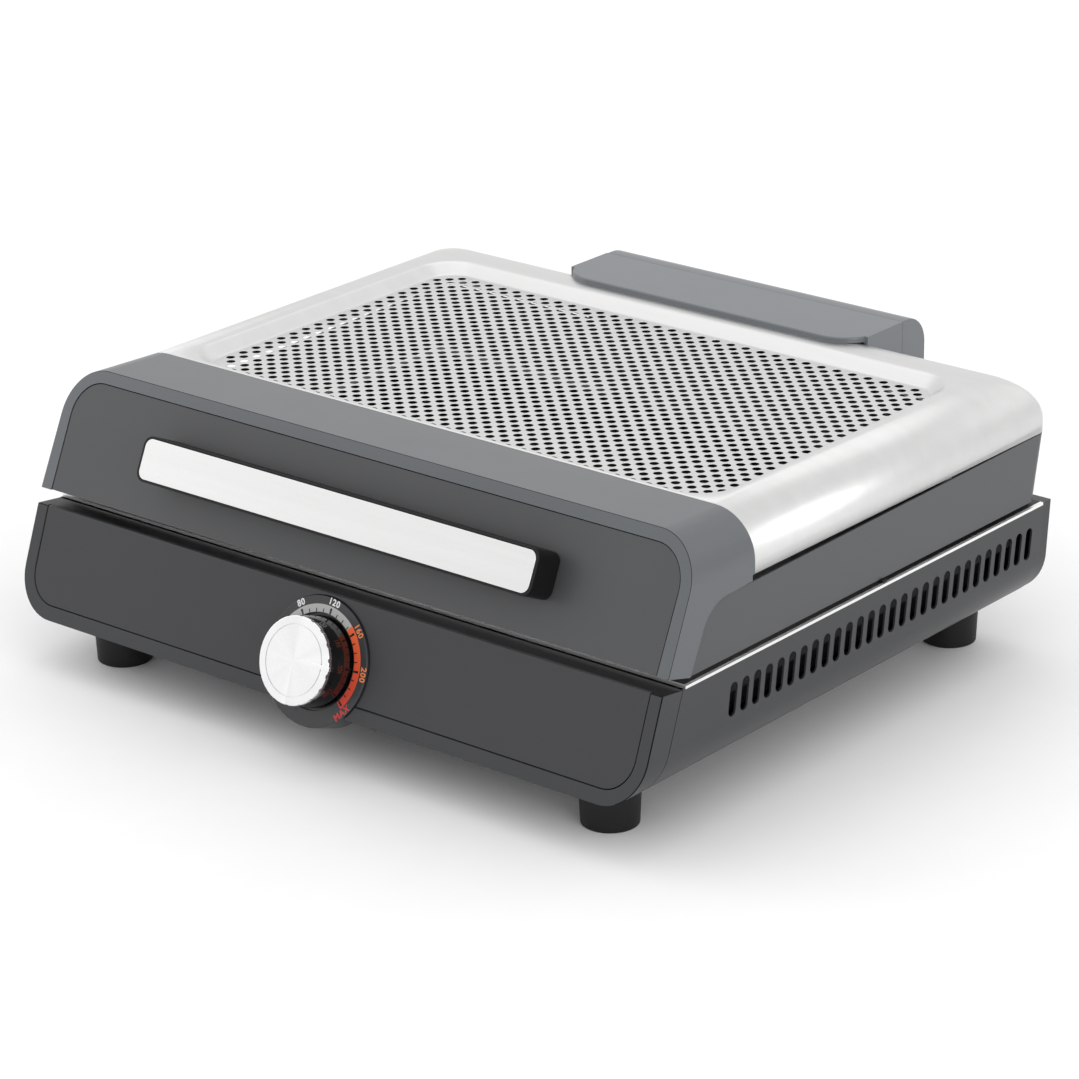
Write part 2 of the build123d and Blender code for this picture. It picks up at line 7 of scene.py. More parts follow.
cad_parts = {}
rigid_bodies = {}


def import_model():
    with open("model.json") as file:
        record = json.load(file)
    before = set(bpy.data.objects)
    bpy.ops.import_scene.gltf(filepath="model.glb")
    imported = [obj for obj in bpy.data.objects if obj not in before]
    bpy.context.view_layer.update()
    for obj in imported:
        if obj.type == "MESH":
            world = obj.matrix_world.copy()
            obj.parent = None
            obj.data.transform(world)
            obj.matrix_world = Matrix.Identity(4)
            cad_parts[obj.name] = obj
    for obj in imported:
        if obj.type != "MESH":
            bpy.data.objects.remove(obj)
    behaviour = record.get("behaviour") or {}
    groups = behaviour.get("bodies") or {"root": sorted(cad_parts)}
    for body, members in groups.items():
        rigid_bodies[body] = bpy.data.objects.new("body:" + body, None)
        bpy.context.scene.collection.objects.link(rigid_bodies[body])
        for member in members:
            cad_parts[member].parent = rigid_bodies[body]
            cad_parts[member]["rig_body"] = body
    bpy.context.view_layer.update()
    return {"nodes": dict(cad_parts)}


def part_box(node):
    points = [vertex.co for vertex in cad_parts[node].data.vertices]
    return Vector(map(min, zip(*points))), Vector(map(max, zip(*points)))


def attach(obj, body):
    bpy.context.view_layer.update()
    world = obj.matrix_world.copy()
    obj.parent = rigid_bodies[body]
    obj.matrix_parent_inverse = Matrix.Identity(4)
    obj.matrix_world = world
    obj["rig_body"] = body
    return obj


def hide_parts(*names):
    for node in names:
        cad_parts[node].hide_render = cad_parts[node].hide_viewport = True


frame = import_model()
nodes = frame["nodes"]
print("frame loaded:", len(nodes), "CAD pieces")

# the hood's front lower edge sits at this y; "back" distances in mm run rearwards from it
frontEdge = -0.1824


def back(distance):
    return frontEdge + distance / 1000


# shared effects, built once and used by many finishes

def newGroup(name, inputs, outputs):
    group = bpy.data.node_groups.new(name, "ShaderNodeTree")
    for label, kind, value in inputs:
        socket = group.interface.new_socket(name=label, in_out="INPUT", socket_type=kind)
        if value is not None:
            socket.default_value = value
    for label, kind in outputs:
        group.interface.new_socket(name=label, in_out="OUTPUT", socket_type=kind)
    return group, group.nodes.new("NodeGroupInput"), group.nodes.new("NodeGroupOutput")


def mathNode(tree, operation, first, second=None):
    node = tree.nodes.new("ShaderNodeMath")
    node.operation = operation
    for slot, value in ((0, first), (1, second)):
        if isinstance(value, (int, float)):
            node.inputs[slot].default_value = value
        elif value is not None:
            tree.links.new(value, node.inputs[slot])
    return node.outputs[0]


def noiseNode(tree, vector, scale, detail=2.0, roughness=0.5):
    node = tree.nodes.new("ShaderNodeTexNoise")
    node.inputs["Detail"].default_value = detail
    node.inputs["Roughness"].default_value = roughness
    if isinstance(scale, (int, float)):
        node.inputs["Scale"].default_value = scale
    else:
        tree.links.new(scale, node.inputs["Scale"])
    tree.links.new(vector, node.inputs["Vector"])
    return node.outputs[0]


def buildGrain():
    # fine tooth for moulded and painted faces, and a slow mottle for their colour and gloss
    group, source, result = newGroup(
        "surfaceGrain",
        [("Vector", "NodeSocketVector", None), ("Fineness", "NodeSocketFloat", 900.0)],
        [("Tooth", "NodeSocketFloat"), ("Mottle", "NodeSocketFloat")],
    )
    tooth = noiseNode(group, source.outputs["Vector"], source.outputs["Fineness"], 3.0, 0.6)
    wide = noiseNode(group, source.outputs["Vector"], 9.0, 3.0, 0.55)
    middle = noiseNode(group, source.outputs["Vector"], 60.0, 2.0, 0.5)
    wideShare = mathNode(group, "MULTIPLY", wide, 0.7)
    middleShare = mathNode(group, "MULTIPLY", middle, 0.3)
    mottle = mathNode(group, "ADD", wideShare, middleShare)
    group.links.new(tooth, result.inputs["Tooth"])
    group.links.new(mottle, result.inputs["Mottle"])
    return group


def buildBrushed():
    # hairlines that run along X of the vector they are given
    group, source, result = newGroup(
        "brushedLines",
        [
            ("Vector", "NodeSocketVector", None), ("Fineness", "NodeSocketFloat", 1500.0),
            ("Stretch", "NodeSocketFloat", 0.02),
        ],
        [("Line", "NodeSocketFloat"), ("Band", "NodeSocketFloat")],
    )
    pull = group.nodes.new("ShaderNodeCombineXYZ")
    group.links.new(source.outputs["Stretch"], pull.inputs["X"])
    pull.inputs["Y"].default_value = 1.0
    pull.inputs["Z"].default_value = 1.0
    scaled = group.nodes.new("ShaderNodeVectorMath")
    scaled.operation = "MULTIPLY"
    group.links.new(source.outputs["Vector"], scaled.inputs[0])
    group.links.new(pull.outputs[0], scaled.inputs[1])
    line = noiseNode(group, scaled.outputs[0], source.outputs["Fineness"], 2.0, 0.6)
    slow = mathNode(group, "MULTIPLY", source.outputs["Fineness"], 0.06)
    band = noiseNode(group, scaled.outputs[0], slow, 2.0, 0.5)
    group.links.new(line, result.inputs["Line"])
    group.links.new(band, result.inputs["Band"])
    return group


def buildPolar():
    # radius and clockwise angle about the Z axis of the vector it is given
    group, source, result = newGroup(
        "dialPolar",
        [("Vector", "NodeSocketVector", None)],
        [("Radius", "NodeSocketFloat"), ("Angle", "NodeSocketFloat")],
    )
    split = group.nodes.new("ShaderNodeSeparateXYZ")
    group.links.new(source.outputs["Vector"], split.inputs[0])
    across = mathNode(group, "MULTIPLY", split.outputs["X"], split.outputs["X"])
    along = mathNode(group, "MULTIPLY", split.outputs["Y"], split.outputs["Y"])
    radius = mathNode(group, "SQRT", mathNode(group, "ADD", across, along))
    angle = mathNode(group, "ARCTAN2", split.outputs["X"], split.outputs["Y"])
    group.links.new(radius, result.inputs["Radius"])
    group.links.new(angle, result.inputs["Angle"])
    return group


grainGroup = buildGrain()
brushedGroup = buildBrushed()
polarGroup = buildPolar()

# the dial's own plane: x across, y up the slope, z out of the face
dialPlace = {"lean": 20.5, "centre": (0.0, back(-17.684), 0.0561)}
dialLean = math.radians(dialPlace["lean"])
dialNormal = Vector((0, -math.cos(dialLean), math.sin(dialLean)))
dialUp = Vector((0, math.sin(dialLean), math.cos(dialLean)))
dialMatrix = Matrix.Translation(dialPlace["centre"]) @ Matrix((
    (1, dialUp.x, dialNormal.x, 0),
    (0, dialUp.y, dialNormal.y, 0),
    (0, dialUp.z, dialNormal.z, 0),
    (0, 0, 0, 1),
))


def newMaterial(name, roughness, metallic=0.0, coat=0.0, coatRoughness=0.1, specular=0.5):
    material = bpy.data.materials.new(name)
    material.use_nodes = True
    tree = material.node_tree
    shader = tree.nodes["Principled BSDF"]
    shader.inputs["Roughness"].default_value = roughness
    shader.inputs["Metallic"].default_value = metallic
    shader.inputs["Coat Weight"].default_value = coat
    shader.inputs["Coat Roughness"].default_value = coatRoughness
    shader.inputs["Specular IOR Level"].default_value = specular
    place = tree.nodes.new("ShaderNodeTexCoord")
    return material, tree, shader, place.outputs["Object"]


def groupNode(tree, group, vector, **values):
    node = tree.nodes.new("ShaderNodeGroup")
    node.node_tree = group
    tree.links.new(vector, node.inputs["Vector"])
    for label, value in values.items():
        node.inputs[label].default_value = value
    return node


def mixColour(tree, factor, first, second):
    node = tree.nodes.new("ShaderNodeMix")
    node.data_type = "RGBA"
    if isinstance(factor, (int, float)):
        node.inputs["Factor"].default_value = factor
    else:
        tree.links.new(factor, node.inputs["Factor"])
    for slot, value in ((6, first), (7, second)):
        if isinstance(value, tuple):
            node.inputs[slot].default_value = (*value, 1)
        else:
            tree.links.new(value, node.inputs[slot])
    return node.outputs[2]


def spread(tree, value, low, high):
    node = tree.nodes.new("ShaderNodeMapRange")
    node.inputs["From Min"].default_value = 0.3
    node.inputs["From Max"].default_value = 0.7
    node.inputs["To Min"].default_value = low
    node.inputs["To Max"].default_value = high
    tree.links.new(value, node.inputs["Value"])
    return node.outputs[0]


def bump(tree, shader, height, distance, strength=1.0):
    node = tree.nodes.new("ShaderNodeBump")
    node.inputs["Distance"].default_value = distance
    node.inputs["Strength"].default_value = strength
    tree.links.new(height, node.inputs["Height"])
    tree.links.new(node.outputs["Normal"], shader.inputs["Normal"])


def shade(colour, factor):
    return tuple(min(1.0, part * factor) for part in colour)


def grainFinish(name, look):
    # painted sheet, moulded plastic, rubber and castings
    material, tree, shader, place = newMaterial(
        name, look["roughness"], look.get("metallic", 0.0), look.get("coat", 0.0),
        look.get("coatRoughness", 0.1), look.get("specular", 0.5),
    )
    grain = groupNode(tree, grainGroup, place, Fineness=look.get("fineness", 900.0))
    vary = look.get("vary", 0.05)
    colour = mixColour(
        tree, spread(tree, grain.outputs["Mottle"], 0.0, 1.0),
        shade(look["colour"], 1 - vary), shade(look["colour"], 1 + vary),
    )
    tree.links.new(colour, shader.inputs["Base Color"])
    rough = look["roughness"]
    swing = look.get("glossVary", 0.03)
    gloss = spread(tree, grain.outputs["Mottle"], rough - swing, rough + swing)
    tree.links.new(gloss, shader.inputs["Roughness"])
    bump(tree, shader, grain.outputs["Tooth"], look.get("tooth", 0.00004))
    return material


def brushedFinish(name, look):
    # metal with hairlines along X
    material, tree, shader, place = newMaterial(
        name, look["roughness"], look.get("metallic", 1.0), specular=look.get("specular", 0.5)
    )
    lines = groupNode(
        tree, brushedGroup, place, Fineness=look.get("fineness", 1500.0), Stretch=look.get("stretch", 0.02)
    )
    colour = mixColour(
        tree, spread(tree, lines.outputs["Band"], 0.0, 1.0),
        shade(look["colour"], 1 - look.get("vary", 0.04)), shade(look["colour"], 1 + look.get("vary", 0.04)),
    )
    tree.links.new(colour, shader.inputs["Base Color"])
    rough = look["roughness"]
    swing = look.get("glossVary", 0.05)
    gloss = spread(tree, lines.outputs["Line"], rough - swing, rough + swing)
    tree.links.new(gloss, shader.inputs["Roughness"])
    bump(tree, shader, lines.outputs["Line"], look.get("tooth", 0.000008))
    return material


def toDial(tree, place):
    # turns object coordinates into the dial's own plane
    mapping = tree.nodes.new("ShaderNodeMapping")
    mapping.inputs["Rotation"].default_value = (dialLean - math.pi / 2, 0, 0)
    mapping.inputs["Location"].default_value = dialMatrix.inverted().translation
    tree.links.new(place, mapping.inputs["Vector"])
    return mapping.outputs[0]


def spunFinish(name, look):
    # metal turned on a lathe about the dial's axis
    material, tree, shader, place = newMaterial(name, look["roughness"], 1.0)
    polar = groupNode(tree, polarGroup, toDial(tree, place))
    rings = tree.nodes.new("ShaderNodeTexNoise")
    rings.noise_dimensions = "1D"
    rings.inputs["Scale"].default_value = look["ringScale"]
    rings.inputs["Detail"].default_value = 3.0
    tree.links.new(polar.outputs["Radius"], rings.inputs["W"])
    # painted sheen: the colour brightens and darkens with the angle round the axis, standing in for the spun
    # metal's reflection
    sheen = tree.nodes.new("ShaderNodeTexNoise")
    sheen.noise_dimensions = "1D"
    sheen.inputs["Scale"].default_value = look["sheenScale"]
    sheen.inputs["Detail"].default_value = 1.0
    tree.links.new(polar.outputs["Angle"], sheen.inputs["W"])
    colour = mixColour(
        tree, spread(tree, sheen.outputs[0], 0.0, 1.0),
        shade(look["colour"], 0.95), shade(look["colour"], 1.04),
    )
    tree.links.new(colour, shader.inputs["Base Color"])
    gloss = spread(tree, rings.outputs[0], look["roughness"] - 0.06, look["roughness"] + 0.06)
    tree.links.new(gloss, shader.inputs["Roughness"])
    bump(tree, shader, rings.outputs[0], 0.000012)
    return material


# finishes: colours are linear, roughness 0 is a mirror

finishLooks = {
    "baseSheet": {"colour": (0.034, 0.036, 0.038), "roughness": 0.34, "tooth": 0.00002, "fineness": 700.0,
                  "vary": 0.04, "specular": 0.4},
    "basePanel": {"colour": (0.033, 0.034, 0.036), "roughness": 0.38, "tooth": 0.00002, "fineness": 700.0,
                  "vary": 0.04, "specular": 0.4},
    "baseMould": {"colour": (0.032, 0.034, 0.036), "roughness": 0.38, "tooth": 0.00003, "fineness": 1100.0,
                  "vary": 0.04, "specular": 0.4},
    "hoodMould": {"colour": (0.062, 0.070, 0.079), "roughness": 0.32, "tooth": 0.00003, "fineness": 1100.0,
                  "vary": 0.03, "specular": 1.0},
    # painted light: a lighter copy of the hood moulding, for the light falling on the upward-facing hinge
    # cover
    "coverMouldLit": {"colour": (0.104, 0.115, 0.127), "roughness": 0.32, "tooth": 0.00003, "fineness": 1100.0,
                   "vary": 0.03, "specular": 1.0},
    "hoodPanel": {"colour": (0.056, 0.058, 0.060), "roughness": 0.36, "tooth": 0.00002, "fineness": 700.0,
                  "vary": 0.04},
    "hoodSide": {"colour": (0.062, 0.065, 0.068), "roughness": 0.34, "tooth": 0.00002, "fineness": 700.0,
                 "vary": 0.04},
    "blackMould": {"colour": (0.006, 0.006, 0.0065), "roughness": 0.42, "tooth": 0.00003, "fineness": 1300.0,
                   "vary": 0.12, "specular": 0.25},
    # painted shade: black for the shadowed gaps beside the frames
    "gapShadeBlack": {"colour": (0.003, 0.003, 0.003), "roughness": 0.6, "tooth": 0.00001, "fineness": 900.0,
                  "vary": 0.1, "specular": 0.05},
    # painted shade: the base frame's upper ledge, shaded by the hood's overhang
    "ledgeShadeBlack": {"colour": (0.003, 0.003, 0.0035), "roughness": 0.30, "tooth": 0.00001, "fineness": 900.0,
                   "vary": 0.1, "specular": 0.12},
    "blackGloss": {"colour": (0.003, 0.003, 0.0035), "roughness": 0.07, "tooth": 0.000001, "fineness": 300.0,
                   "coat": 0.8, "coatRoughness": 0.04, "vary": 0.1, "glossVary": 0.01},
    "footRubber": {"colour": (0.006, 0.006, 0.0065), "roughness": 0.55, "tooth": 0.00006, "fineness": 1500.0,
                   "vary": 0.15, "specular": 0.3},
    "castPlate": {"colour": (0.012, 0.012, 0.013), "roughness": 0.42, "tooth": 0.0001, "fineness": 900.0,
                  "vary": 0.2, "specular": 0.4},
    # painted shade: the inner liner's metal painted near black for the shade inside the base
    "linerShadeDark": {"colour": (0.014, 0.014, 0.015), "roughness": 0.45, "tooth": 0.00004, "fineness": 900.0,
                  "vary": 0.1, "specular": 0.25},
    "elementSheath": {"colour": (0.12, 0.10, 0.09), "roughness": 0.45, "tooth": 0.00005, "vary": 0.25,
                      "metallic": 0.9},
}
brushedLooks = {
    "stainless": {"colour": (0.66, 0.66, 0.655), "roughness": 0.36, "fineness": 1700.0, "stretch": 0.015,
                  "vary": 0.02},
    "handleSteel": {"colour": (0.77, 0.77, 0.765), "roughness": 0.32, "fineness": 2200.0, "stretch": 0.02,
                    "vary": 0.02},
    "linerSheet": {"colour": (0.30, 0.30, 0.31), "roughness": 0.40, "fineness": 500.0, "stretch": 0.3,
                   "vary": 0.05},
    "fixings": {"colour": (0.42, 0.42, 0.43), "roughness": 0.34, "fineness": 900.0, "stretch": 0.5,
                "vary": 0.08},
}
materials = {name: grainFinish(name, look) for name, look in finishLooks.items()}
materials.update({name: brushedFinish(name, look) for name, look in brushedLooks.items()})
spunLook = {"colour": (0.88, 0.88, 0.88), "roughness": 0.28, "ringScale": 2600.0, "sheenScale": 1.1}
materials["spunCap"] = spunFinish("spunCap", spunLook)


def above(tree, value, limit):
    return mathNode(tree, "GREATER_THAN", value, limit)


def paintWhere(tree, shader, mask, colour):
    # turns the finish into bare metal of this colour where the mask is 1
    source = shader.inputs["Base Color"].links[0].from_socket
    tree.links.new(mixColour(tree, mask, source, colour), shader.inputs["Base Color"])
    tree.links.new(mask, shader.inputs["Metallic"])


def splitPlace(tree, place):
    split = tree.nodes.new("ShaderNodeSeparateXYZ")
    tree.links.new(place, split.inputs[0])
    return split.outputs


# painted shade: the liner's metal is painted near black for the shade inside the base seen through the vents;
# only its folded hem keeps bright bare metal: above this height, at the sides and along the front
hemLook = {"height": 0.0902, "side": 0.2326, "front": back(17.0), "colour": (0.92, 0.92, 0.91)}


def linerFinish():
    material = grainFinish("linerWithHem", finishLooks["linerShadeDark"])
    tree = material.node_tree
    shader = tree.nodes["Principled BSDF"]
    parts = splitPlace(tree, tree.nodes["Texture Coordinate"].outputs["Object"])
    side = above(tree, mathNode(tree, "ABSOLUTE", parts["X"]), hemLook["side"])
    front = mathNode(tree, "LESS_THAN", parts["Y"], hemLook["front"])
    edge = mathNode(tree, "MAXIMUM", side, front)
    mask = mathNode(tree, "MULTIPLY", above(tree, parts["Z"], hemLook["height"]), edge)
    paintWhere(tree, shader, mask, hemLook["colour"])
    return material


materials["linerWithHem"] = linerFinish()
print("finishes made:", len(materials))


# the finish of every CAD piece; a copy that replaces a piece takes the same one

nodeFinish = {
    "base_wrap": "baseSheet", "base_front_frame": "baseMould", "base_front_panel": "basePanel",
    "base_rear_cap": "baseMould", "cord_gland": "blackMould", "inner_liner": "linerWithHem",
    "heating_element": "elementSheath", "element_clips": "fixings", "cooking_plate": "castPlate",
    "drip_pan": "linerSheet", "heat_shield": "linerSheet", "thermostat": "blackMould",
    "thermostat_bracket": "fixings", "thermostat_shaft": "fixings", "shaft_clip": "fixings",
    "terminal_block": "blackMould", "thermal_fuse": "fixings", "foot_screws": "fixings",
    "hinge_ear_left": "fixings", "hinge_ear_right": "fixings", "hinge_pin_left": "fixings",
    "hinge_pin_right": "fixings", "hinge_arm_left": "fixings", "hinge_arm_right": "fixings",
    "hood_front_frame": "hoodMould", "hood_front_panel": "hoodPanel", "hood_top_sheet": "stainless",
    "hood_skirt": "hoodSide", "handle_bar": "blackMould", "handle_plate": "handleSteel",
    "handle_screws": "fixings", "hinge_cover_top": "coverMouldLit", "hinge_cover_rear": "coverMouldLit",
    "rim_pads": "footRubber", "knob_body": "blackGloss", "knob_cap": "spunCap", "knob_pointer": "spunCap",
    "dial_disc": "baseMould", "foot_front_left": "footRubber", "foot_front_right": "footRubber",
    "foot_rear_left": "footRubber", "foot_rear_right": "footRubber",
}
for name, finish in nodeFinish.items():
    nodes[name].data.materials.clear()
    nodes[name].data.materials.append(materials[finish])
print("CAD pieces painted")


def finishPiece(bm, name, body, material, replaced=(), sharpAngle=35.0, outward=False):
    if outward:
        bmesh.ops.recalc_face_normals(bm, faces=bm.faces)
    for face in bm.faces:
        face.smooth = True
    for edge in bm.edges:
        if len(edge.link_faces) == 2:
            edge.smooth = edge.calc_face_angle(0.0) < math.radians(sharpAngle)
    mesh = bpy.data.meshes.new(name)
    bm.to_mesh(mesh)
    bm.free()
    piece = bpy.data.objects.new(name, mesh)
    bpy.context.scene.collection.objects.link(piece)
    mesh.materials.append(material)
    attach(piece, body)
    if replaced:
        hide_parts(*replaced)
    return piece


# CAD pieces whose corners are softened in a copy

softEdges = {
    # new name, width of the rounded corner in metres, smallest angle that counts as a corner
    "base_front_frame": ("baseFrontFrame", 0.0005, 30.0),
    "hood_front_frame": ("hoodFrontFrame", 0.0006, 20.0),
    "base_rear_cap": ("baseRearCap", 0.0006, 30.0),
    "handle_bar": ("handleBar", 0.0008, 30.0),
    "handle_plate": ("handlePlate", 0.0003, 30.0),
    "hinge_cover_top": ("hingeCoverTop", 0.0008, 30.0),
    "hinge_cover_rear": ("hingeCoverRear", 0.0008, 30.0),
    "knob_cap": ("knobCap", 0.00018, 30.0),
    "knob_body": ("knobBody", 0.0002, 30.0),
    "knob_pointer": ("knobPointer", 0.00025, 30.0),
    "base_front_panel": ("baseFrontPanel", 0.0003, 30.0),
    "hood_front_panel": ("hoodFrontPanel", 0.0003, 30.0),
    "dial_disc": ("dialDisc", 0.0003, 30.0),
    "cooking_plate": ("cookingPlate", 0.0008, 30.0),
}


# painted shade: the rounded outer corners of the frames are painted black for the shadowed gap where they
# meet their neighbours, and the base frame's upper ledge is painted black for the shade under the hood
gapShadePaint = {
    "frames": ("base_front_frame", "hood_front_frame"), "side": 0.2336, "below": 0.1372, "ledge": 0.0886,
}


def outerEdge(face, low, high):
    # true on the rounded corner between a frame's front or rear face and its outline
    middle, half = (low + high) / 2, (high - low) / 2
    centre = face.calc_center_median()
    across, upward = (centre.x - middle.x) / half.x, (centre.z - middle.z) / half.z
    outward = face.normal.x * across + face.normal.z * upward
    if face.normal.y < 0:
        return face.normal.y < -0.25 and outward > 0.2 and max(abs(across), abs(upward)) > 0.9
    if centre.z > gapShadePaint["below"] or abs(centre.x) < gapShadePaint["side"]:
        return False
    return face.normal.y > 0.25 and abs(face.normal.x) > 0.25


def isLedge(face):
    return face.normal.z > 0.6 and face.calc_center_median().z > gapShadePaint["ledge"]


def softCopy(node, name, width, corner):
    bm = bmesh.new()
    bm.from_mesh(nodes[node].data)
    bmesh.ops.remove_doubles(bm, verts=bm.verts, dist=2e-6)
    bmesh.ops.dissolve_limit(bm, angle_limit=math.radians(0.6), verts=bm.verts, edges=bm.edges)
    limit = math.radians(corner)
    sharp = [edge for edge in bm.edges if len(edge.link_faces) == 2 and edge.calc_face_angle(0.0) > limit]
    rounded = bmesh.ops.bevel(
        bm, geom=sharp, offset=width, offset_type="OFFSET", segments=2, profile=0.5, affect="EDGES",
        clamp_overlap=True, material=-1,
    )
    # the frames' rounded outer corners take the painted gap shade
    if node in gapShadePaint["frames"]:
        low, high = (Vector(place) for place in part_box(node))
        for face in rounded["faces"]:
            if outerEdge(face, low, high):
                face.material_index = 1
    # the base frame's upper ledge is painted black for the shade under the hood
    if node == "base_front_frame":
        for face in bm.faces:
            if isLedge(face):
                face.material_index = 2
    finish = materials[nodeFinish[node]]
    piece = finishPiece(bm, name, nodes[node]["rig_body"], finish, [node], sharpAngle=50.0)
    if node in gapShadePaint["frames"]:
        piece.data.materials.append(materials["gapShadeBlack"])
        piece.data.materials.append(materials["ledgeShadeBlack"])
    weigh = piece.modifiers.new("evenNormals", "WEIGHTED_NORMAL")
    weigh.keep_sharp = True
    return piece


softPieces = {node: softCopy(node, *values) for node, values in softEdges.items()}
print("corners softened on", len(softPieces), "pieces")


# the perforated hood sheet

sheetShape = {
    "half": 0.2316, "top": 0.1690, "low": 0.1350, "front": back(80.2), "rear": back(367.0),
    "bend": 0.0263, "bendSteps": 10, "cornerLow": 0.008, "cornerHigh": 0.020, "cornerSteps": 8,
    "thickness": 0.00025,
}
recessShape = {
    "half": 0.190, "front": back(91.5), "rear": back(319.0), "depth": 0.007, "corner": 0.017,
    # how far the wall's outline grows, and how far below the top it is, in mm
    "wall": [
        (9.2, 0.0), (8.3, 0.12), (7.4, 0.5), (6.5, 1.1), (1.1, 6.1), (0.4, 6.62), (-0.5, 6.9), (-1.5, 7.0),
    ],
    "cell": 0.0056, "rowStep": 0.00557, "holeRadius": 0.0027, "rearRow": back(313.5),
    "rows": 40, "columns": 33,
}


def sheetOutline(inset, corner):
    half, rear, steps = sheetShape["half"] - inset, sheetShape["rear"] - inset, sheetShape["cornerSteps"]
    points = [(-half, sheetShape["front"])]
    for side, start in ((-1, math.pi), (1, math.pi / 2)):
        for step in range(steps + 1):
            angle = start - math.pi / 2 * step / steps
            points.append((
                side * (half - corner) + corner * math.cos(angle),
                rear - corner + corner * math.sin(angle),
            ))
    return points + [(half, sheetShape["front"])]


def addLoop(bm, points, height, closed):
    verts = [bm.verts.new((x, y, height)) for x, y in points]
    edges = [bm.edges.new(pair) for pair in zip(verts, verts[1:])]
    if closed:
        edges.append(bm.edges.new((verts[-1], verts[0])))
    return edges


def recessOutline(grow):
    half = recessShape["half"] + grow
    low, high = recessShape["front"] - grow, recessShape["rear"] + grow
    corner, steps, points = recessShape["corner"] + grow, 8, []
    for quarter, (x, y) in enumerate(((half, high), (-half, high), (-half, low), (half, low))):
        middle = (x - math.copysign(corner, x), y - corner if y == high else y + corner)
        for step in range(steps + 1):
            angle = math.pi / 2 * (quarter + step / steps)
            points.append((middle[0] + corner * math.cos(angle), middle[1] + corner * math.sin(angle)))
    return points


def addTile(bm, holed, cell, radius):
    # a square cell with sixteen corners on its edge, so that neighbours weld
    bmesh.ops.create_circle(bm, cap_ends=True, segments=16, radius=cell / 2)
    for vert in bm.verts:
        vert.co *= cell / 2 / max(abs(vert.co.x), abs(vert.co.y))
    if not holed:
        return
    cellFace = bm.faces[:][0]
    bmesh.ops.inset_individual(bm, faces=[cellFace], thickness=cell * 0.05)
    for vert in cellFace.verts:
        vert.co = vert.co.normalized() * radius
    bmesh.ops.delete(bm, geom=[cellFace], context="FACES_ONLY")


def buildPerforated():
    # checkerboard of plain and holed cells
    cell, step = recessShape["cell"], recessShape["rowStep"]
    height = sheetShape["top"] - recessShape["depth"]
    tiles = {}
    for holed in (True, False):
        small = bmesh.new()
        addTile(small, holed, cell, recessShape["holeRadius"])
        bmesh.ops.scale(small, verts=small.verts, vec=(1, step / cell, 1))
        tiles[holed] = bpy.data.meshes.new("tile")
        small.to_mesh(tiles[holed])
        small.free()
    bm = bmesh.new()
    rows, columns = recessShape["rows"], recessShape["columns"]
    for row in range(rows):
        # the rounded corners of the recess leave no room for the outermost cells and holes
        cells = min(columns, 31 + row, 30 + rows - row)
        reach = min(cells, 29 + rows - row)
        y = recessShape["rearRow"] - row * step
        for column in range(-cells, cells + 1):
            holed = (column + row) % 2 == 1 and abs(column) <= reach
            before = len(bm.verts)
            bm.from_mesh(tiles[holed])
            bm.verts.ensure_lookup_table()
            bmesh.ops.translate(bm, verts=bm.verts[before:], vec=(column * cell, y, height))
    for mesh in tiles.values():
        bpy.data.meshes.remove(mesh)
    bmesh.ops.remove_doubles(bm, verts=bm.verts, dist=0.00001)
    return bm


def buildSheet():
    bm = buildPerforated()
    rim = []
    for edge in bm.edges:
        run = edge.verts[0].co - edge.verts[1].co
        if edge.is_boundary and min(abs(run.x), abs(run.y)) < 1e-6:
            rim.append(edge)
    top = sheetShape["top"]
    loops = []
    for grow, drop in recessShape["wall"]:
        loops.append(addLoop(bm, recessOutline(grow / 1000), top - drop / 1000, True))
    for first, second in zip(loops, loops[1:]):
        bmesh.ops.bridge_loops(bm, edges=first + second)
    bmesh.ops.triangle_fill(bm, edges=rim + loops[-1], use_beauty=True)
    bend, steps = sheetShape["bend"], sheetShape["bendSteps"]
    outlines = [addLoop(bm, sheetOutline(0.0, sheetShape["cornerLow"]), sheetShape["low"], False)]
    for step in range(steps + 1):
        turn = math.pi / 2 * step / steps
        growth = (sheetShape["cornerHigh"] - sheetShape["cornerLow"]) * (1 - math.cos(turn))
        corner = sheetShape["cornerLow"] + growth
        height = top - bend + bend * math.sin(turn)
        outlines.append(addLoop(bm, sheetOutline(bend * (1 - math.cos(turn)), corner), height, False))
    for first, second in zip(outlines, outlines[1:]):
        bmesh.ops.bridge_loops(bm, edges=first + second)
    last = outlines[-1]
    ends = [
        vert for edge in (last[0], last[-1]) for vert in edge.verts
        if abs(vert.co.y - sheetShape["front"]) < 1e-6
    ]
    front = bm.edges.new(ends)
    bmesh.ops.triangle_fill(bm, edges=last + [front] + loops[0], use_beauty=True)
    bmesh.ops.recalc_face_normals(bm, faces=bm.faces)
    upper = max(bm.faces, key=lambda face: face.calc_area())
    if upper.normal.z < 0:
        bmesh.ops.reverse_faces(bm, faces=bm.faces)
    return bm


sheet = finishPiece(
    buildSheet(), "hoodPerforatedSheet", "hood", materials["stainless"], ["hood_top_sheet"]
)
wall = sheet.modifiers.new("sheetThickness", "SOLIDIFY")
wall.thickness = sheetShape["thickness"]
wall.offset = -1.0
print("hood sheet perforated:", len(sheet.data.polygons), "faces")


# dial face, its scale and its numbers

